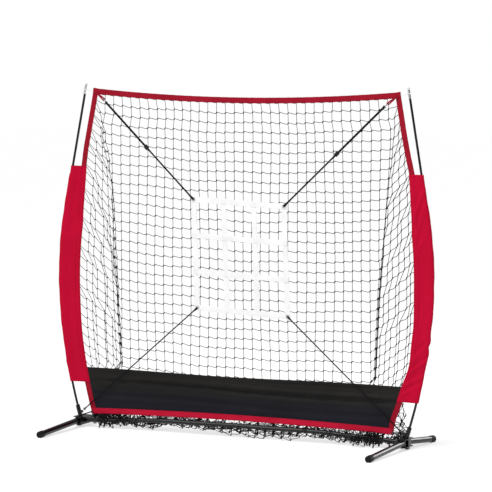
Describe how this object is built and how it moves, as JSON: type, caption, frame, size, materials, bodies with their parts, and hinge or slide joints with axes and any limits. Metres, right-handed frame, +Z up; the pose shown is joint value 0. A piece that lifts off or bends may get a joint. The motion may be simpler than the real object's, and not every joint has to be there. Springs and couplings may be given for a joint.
{
  "type": "pitching target net",
  "caption": "Free-standing bow-frame pitching net with side sleeves, slack square netting, a ball-catch panel and a hung strike-zone target of crossed webbing.",
  "frame": {"origin": "on the ground, in the middle of the footprint", "axes": "X is the width, -Y is the side that the ball comes from, +Z is up"},
  "size_m": [1.894, 0.6712, 1.6063],
  "materials": {
    "black_steel": "gloss",
    "rubber": "matte",
    "fibreglass": "gloss",
    "zinc_steel": "satin",
    "bright_ferrule": "polished",
    "red_polyester": "woven",
    "black_net": "knotted twine",
    "black_canvas": "woven",
    "white_webbing": "woven",
    "grommet": "gloss",
    "black_elastic": "woven",
    "black_hardware": "satin",
    "pale_cord": "braided"
  },
  "bodies": {
    "frame": {"hub_left": "black_steel", "hub_right": "black_steel", "pivot_rivets": "zinc_steel", "crossbar_outer_left": "black_steel", "crossbar_inner_left": "black_steel", "crossbar_inner_right": "black_steel", "crossbar_outer_right": "black_steel", "crossbar_spigots": "zinc_steel", "pole_lower_left": "fibreglass", "pole_lower_right": "fibreglass", "pole_middle_left": "fibreglass", "pole_middle_right": "fibreglass", "pole_upper_left": "fibreglass", "pole_upper_right": "fibreglass", "pole_ferrules": "zinc_steel", "tip_ferrule_left": "bright_ferrule", "tip_ferrule_right": "bright_ferrule", "tip_ball_left": "rubber", "tip_ball_right": "rubber", "border_top": "red_polyester", "border_bottom": "red_polyester", "border_left": "red_polyester", "border_right": "red_polyester", "sleeve_left": "red_polyester", "sleeve_right": "red_polyester", "netting": "black_net", "net_skirt": "black_net", "catch_panel": "black_canvas", "target_row_1": "white_webbing", "target_row_2": "white_webbing", "target_row_3": "white_webbing", "target_row_4": "white_webbing", "target_column_1": "white_webbing", "target_column_2": "white_webbing", "target_column_3": "white_webbing", "target_column_4": "white_webbing", "grommets": "grommet", "upper_strap_left": "black_elastic", "upper_strap_right": "black_elastic", "lower_strap_left": "black_elastic", "lower_strap_right": "black_elastic", "upper_hooks": "black_hardware", "lower_hooks": "black_hardware", "hook_tabs": "red_polyester", "tip_cords": "pale_cord", "corner_ties": "black_elastic"},
    "front_leg_left": {"front_leg_left": "black_steel", "front_cap_left": "rubber"},
    "rear_leg_left": {"rear_leg_left": "black_steel", "rear_cap_left": "rubber"},
    "slider_left": {"slider_left": "black_hardware"},
    "front_leg_right": {"front_leg_right": "black_steel", "front_cap_right": "rubber"},
    "rear_leg_right": {"rear_leg_right": "black_steel", "rear_cap_right": "rubber"},
    "slider_right": {"slider_right": "black_hardware"}
  },
  "joints": [
    {"name": "front_leg_left_swing", "type": "hinge", "parent": "frame", "child": "front_leg_left", "pos_m": [-0.82, 0.04118, 0.032], "axis": [0, 0, -1], "range_deg": [0, 90]},
    {"name": "rear_leg_left_swing", "type": "hinge", "parent": "frame", "child": "rear_leg_left", "pos_m": [-0.82, 0.10318, 0.032], "axis": [0, 0, 1], "range_deg": [0, 82]},
    {"name": "front_leg_right_swing", "type": "hinge", "parent": "frame", "child": "front_leg_right", "pos_m": [0.82, 0.04118, 0.032], "axis": [0, 0, 1], "range_deg": [0, 90]},
    {"name": "rear_leg_right_swing", "type": "hinge", "parent": "frame", "child": "rear_leg_right", "pos_m": [0.82, 0.10318, 0.032], "axis": [0, 0, -1], "range_deg": [0, 82]},
    {"name": "slider_left_slide", "type": "slide", "parent": "frame", "child": "slider_left", "axis": [-0.7241, 0.02, 0.6894], "range_m": [-0.09, 0.09]},
    {"name": "slider_right_slide", "type": "slide", "parent": "frame", "child": "slider_right", "axis": [0.7283, 0.0199, 0.685], "range_m": [-0.09, 0.09]}
  ]
}
